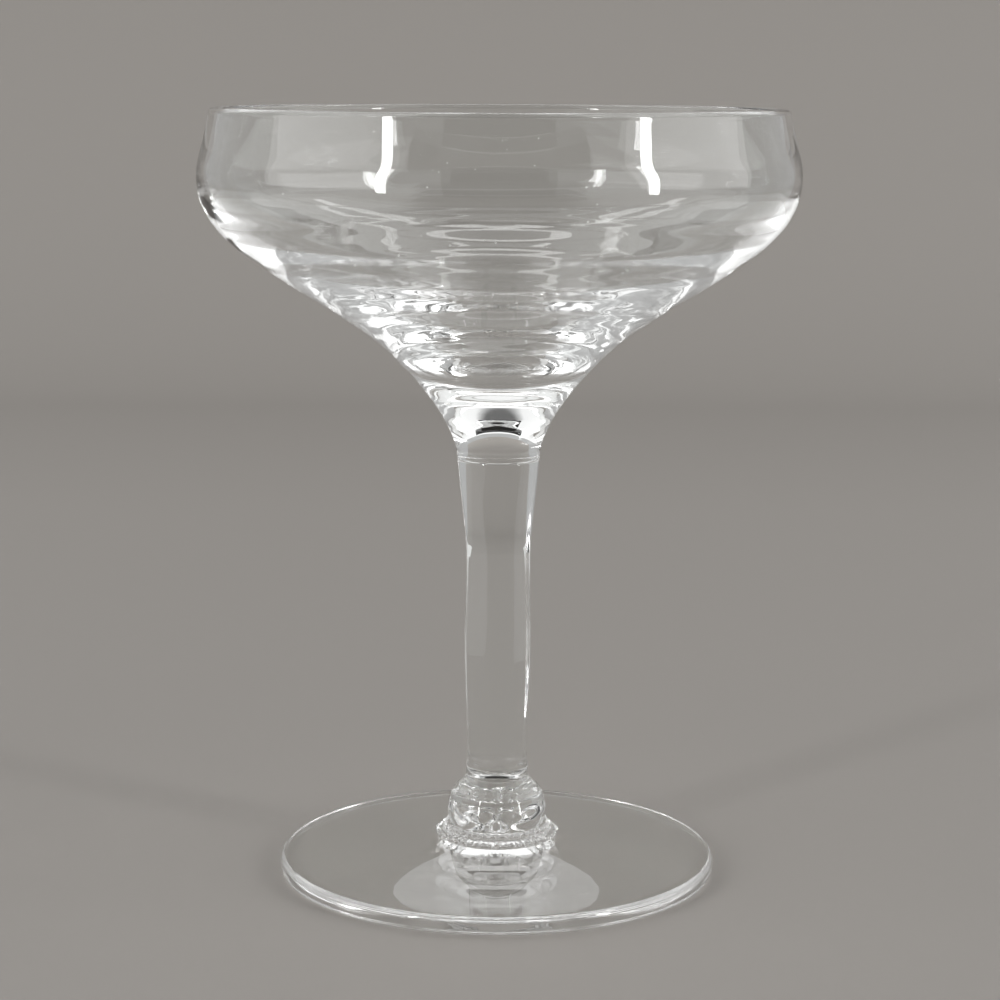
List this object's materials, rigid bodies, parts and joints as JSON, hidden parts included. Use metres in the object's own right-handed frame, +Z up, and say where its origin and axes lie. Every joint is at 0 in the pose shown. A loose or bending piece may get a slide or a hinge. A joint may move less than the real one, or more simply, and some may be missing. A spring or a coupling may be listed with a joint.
{
  "type": "coupe glass",
  "caption": "Clear stemmed coupe glass with a wide shallow bowl, a panelled stem with a small collar and merese, and a flat round foot.",
  "frame": {"origin": "centre of the foot's flat underside, on the surface that the glass stands on", "axes": "+Z up along the glass's axis towards the rim; one flat panel of the stem faces -Y"},
  "size_m": [0.108, 0.108, 0.14],
  "materials": {
    "clear_glass": "clear polished soda-lime glass with a faint grey-green cast"
  },
  "bodies": {
    "root": {"bowl": "clear_glass", "stem": "clear_glass", "collar": "clear_glass", "merese": "clear_glass", "foot": "clear_glass"}
  },
  "joints": []
}
